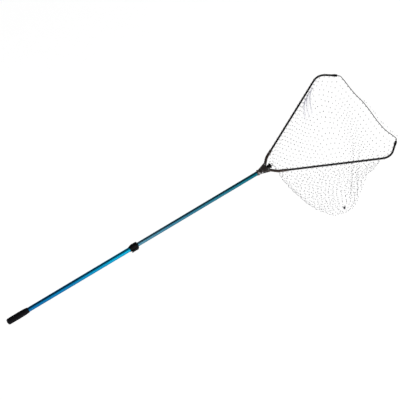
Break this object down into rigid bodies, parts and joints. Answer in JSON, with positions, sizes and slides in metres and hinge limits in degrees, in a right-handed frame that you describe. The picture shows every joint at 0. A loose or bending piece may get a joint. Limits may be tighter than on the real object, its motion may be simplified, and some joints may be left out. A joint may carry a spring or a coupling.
{
  "type": "landing net",
  "caption": "Landing net with a two-section telescopic handle, cam clamp, fold-back head, two hinged arms, front cord and a deep funnel bag of clear mesh.",
  "frame": {"origin": "middle of the hand's hold on the grip, on the handle's axis", "axes": "+X along the handle towards the net, +Y to the left arm, +Z away from the bag, which hangs towards -Z below the flat mouth"},
  "size_m": [2.2288, 0.6326, 0.8206],
  "materials": {
    "blue_anodised": "satin",
    "dark_anodised": "satin",
    "grip_rubber": "matte",
    "black_plastic": "satin",
    "steel": "satin",
    "bright_alloy": "satin",
    "gunmetal": "satin",
    "black_alloy": "satin",
    "cord": "matte",
    "netting": "satin"
  },
  "bodies": {
    "lower_handle": {"lower_tube": "blue_anodised", "grip": "grip_rubber", "butt_cap": "grip_rubber", "clamp_collar": "black_plastic", "front_bush": "black_plastic", "lever_pin": "steel", "clamp_screw": "steel"},
    "clamp_lever": {"clamp_lever": "black_plastic"},
    "upper_handle": {"upper_tube": "dark_anodised", "guide_plug": "black_plastic", "head_socket": "bright_alloy", "socket_rivet": "steel", "latch_pin": "steel"},
    "latch": {"latch": "black_plastic"},
    "head": {"yoke_cover": "gunmetal", "yoke_base": "bright_alloy", "yoke_rivet_left": "steel", "yoke_rivet_right": "steel", "pivot_rivet_left": "steel", "pivot_rivet_right": "steel", "hinge_pin": "steel", "slider_spring": "steel", "net_bag": "netting", "bag_tie": "black_plastic", "front_cord": "cord"},
    "slider": {"slider": "black_plastic", "slider_pin": "steel", "pull_ring": "gunmetal"},
    "arm_left": {"elbow_left": "gunmetal", "arm_left": "black_alloy", "arm_rivet_left": "steel", "tip_cap_left": "black_plastic"},
    "arm_right": {"elbow_right": "gunmetal", "arm_right": "black_alloy", "arm_rivet_right": "steel", "tip_cap_right": "black_plastic"}
  },
  "joints": [
    {"name": "handle_slide", "type": "slide", "parent": "lower_handle", "child": "upper_handle", "axis": [-1, 0, 0], "range_m": [0, 0.625]},
    {"name": "lever_swing", "type": "hinge", "parent": "lower_handle", "child": "clamp_lever", "pos_m": [0.702, -0.0179, 0], "axis": [0, 0, 1], "range_deg": [0, 105]},
    {"name": "head_fold", "type": "hinge", "parent": "upper_handle", "child": "head", "pos_m": [1.458, 0, 0.0125], "axis": [0, -1, 0], "range_deg": [0, 180]},
    {"name": "latch_release", "type": "hinge", "parent": "upper_handle", "child": "latch", "pos_m": [1.456, 0, -0.0138], "axis": [0, 1, 0], "range_deg": [0, 15], "stiffness_Nm_per_rad": 0.12, "springref_deg": -20.05},
    {"name": "arm_left_fold", "type": "hinge", "parent": "head", "child": "arm_left", "pos_m": [1.514, 0.017, 0], "axis": [0, 0, -1], "range_deg": [0, 21], "stiffness_Nm_per_rad": 1.5, "springref_deg": -11.46, "deforming": ["front_cord", "slider_spring"]},
    {"name": "arm_right_fold", "type": "hinge", "parent": "head", "child": "arm_right", "pos_m": [1.514, -0.017, 0], "axis": [0, 0, 1], "range_deg": [0, 21]},
    {"name": "slider_slide", "type": "slide", "parent": "head", "child": "slider", "axis": [-1, 0, 0], "range_m": [0, 0.0066]}
  ],
  "couplings": [
    {"joint": "arm_right_fold", "follows": "arm_left_fold", "ratio": 1},
    {"joint": "slider_slide", "follows": "arm_left_fold", "m_per_rad": 0.0178}
  ]
}
